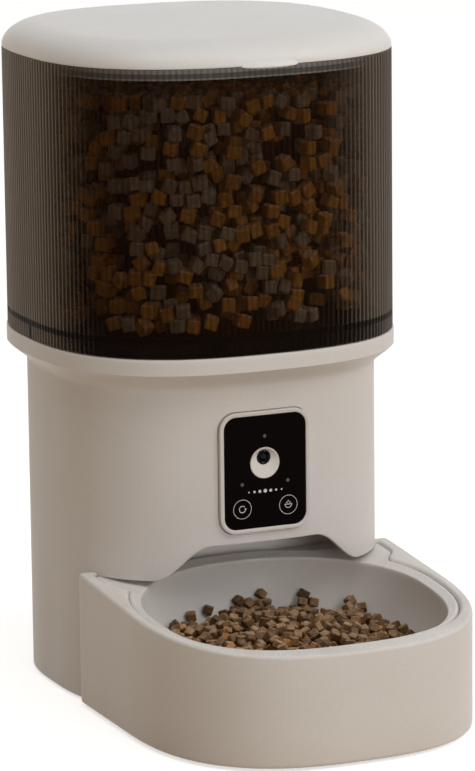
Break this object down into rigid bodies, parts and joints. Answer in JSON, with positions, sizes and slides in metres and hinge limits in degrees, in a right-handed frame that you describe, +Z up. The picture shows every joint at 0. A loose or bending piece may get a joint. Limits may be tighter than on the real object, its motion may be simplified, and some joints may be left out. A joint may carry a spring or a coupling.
{
  "type": "automatic pet feeder",
  "caption": "Automatic pet feeder with a smoky tank and lift-off lid on a column, a camera panel with buttons, a geared feed rotor, and a pull-out tray with a bowl.",
  "frame": {"origin": "on the floor, under the middle of the bounding box", "axes": "+Z up, the front with the panel and the bowl faces -Y, +X is to the right seen from the front"},
  "size_m": [0.1914, 0.2944, 0.3444],
  "materials": {
    "white": "satin",
    "smoke": "smoky translucent",
    "black": "gloss",
    "dark": "matt",
    "grey": "matt",
    "rubber": "matt",
    "silicone": "soft",
    "acetal": "satin",
    "steel": "brushed",
    "board": "matt",
    "lens": "polished",
    "lamp": "clear"
  },
  "bodies": {
    "base": {"housing": "white", "rotor_well": "grey", "idler_pin": "steel", "gearbox_case": "grey", "gearbox_cover": "grey", "motor": "steel", "cables": "rubber", "feed_niche": "grey", "bottom_cover": "white", "battery_contacts": "steel", "base_feet": "rubber", "cover_screws": "steel", "main_board": "board", "power_socket": "steel", "speaker": "dark", "panel_bezel": "white", "panel_plate": "black", "camera_dish": "white", "camera_lens": "lens", "camera_module": "dark", "lamps": "lamp", "button_board": "board"},
    "hopper": {"hopper_tank": "smoke", "hopper_funnel": "dark"},
    "lid": {"lid": "white", "lid_seal": "silicone", "desiccant_box": "white"},
    "desiccant_cap": {"desiccant_cap": "grey"},
    "rotor": {"rotor_hub": "grey", "rotor_vanes": "silicone", "drive_shaft": "steel", "output_gear": "acetal"},
    "idler": {"idler_gear": "acetal"},
    "motor_shaft": {"motor_pinion": "steel"},
    "reset_button": {"reset_button": "black"},
    "feed_button": {"feed_button": "black"},
    "tray": {"tray": "white", "tray_pads": "rubber", "bowl": "white"},
    "battery_door": {"battery_door": "white"}
  },
  "joints": [
    {"name": "hopper_lift", "type": "slide", "parent": "base", "child": "hopper", "axis": [0, 0, 1], "range_m": [0, 0.06]},
    {"name": "lid_lift", "type": "slide", "parent": "hopper", "child": "lid", "axis": [0, 0, 1], "range_m": [0, 0.06]},
    {"name": "desiccant_twist", "type": "hinge", "parent": "lid", "child": "desiccant_cap", "pos_m": [0, 0.0529, 0.32], "axis": [0, 0, 1], "range_deg": [0, 45]},
    {"name": "rotor_spin", "type": "hinge", "parent": "base", "child": "rotor", "pos_m": [0, 0.0529, 0.14], "axis": [0, 0, 1], "continuous": true},
    {"name": "idler_spin", "type": "hinge", "parent": "base", "child": "idler", "pos_m": [0, 0.0817, 0.12], "axis": [0, 0, 1], "continuous": true},
    {"name": "motor_spin", "type": "hinge", "parent": "base", "child": "motor_shaft", "pos_m": [0.02494, 0.0961, 0.12], "axis": [0, 0, 1], "continuous": true},
    {"name": "reset_press", "type": "slide", "parent": "base", "child": "reset_button", "axis": [0, 1, 0], "range_m": [0, 0.0008], "stiffness_N_per_m": 600, "springref_m": -0.0005},
    {"name": "feed_press", "type": "slide", "parent": "base", "child": "feed_button", "axis": [0, 1, 0], "range_m": [0, 0.0008], "stiffness_N_per_m": 600, "springref_m": -0.0005},
    {"name": "tray_slide", "type": "slide", "parent": "base", "child": "tray", "axis": [0, -1, 0], "range_m": [0, 0.12]},
    {"name": "battery_door_drop", "type": "slide", "parent": "base", "child": "battery_door", "axis": [0, 0, -1], "range_m": [0, 0.05]}
  ],
  "couplings": [
    {"joint": "idler_spin", "follows": "rotor_spin", "ratio": -3},
    {"joint": "motor_spin", "follows": "rotor_spin", "ratio": 9}
  ]
}
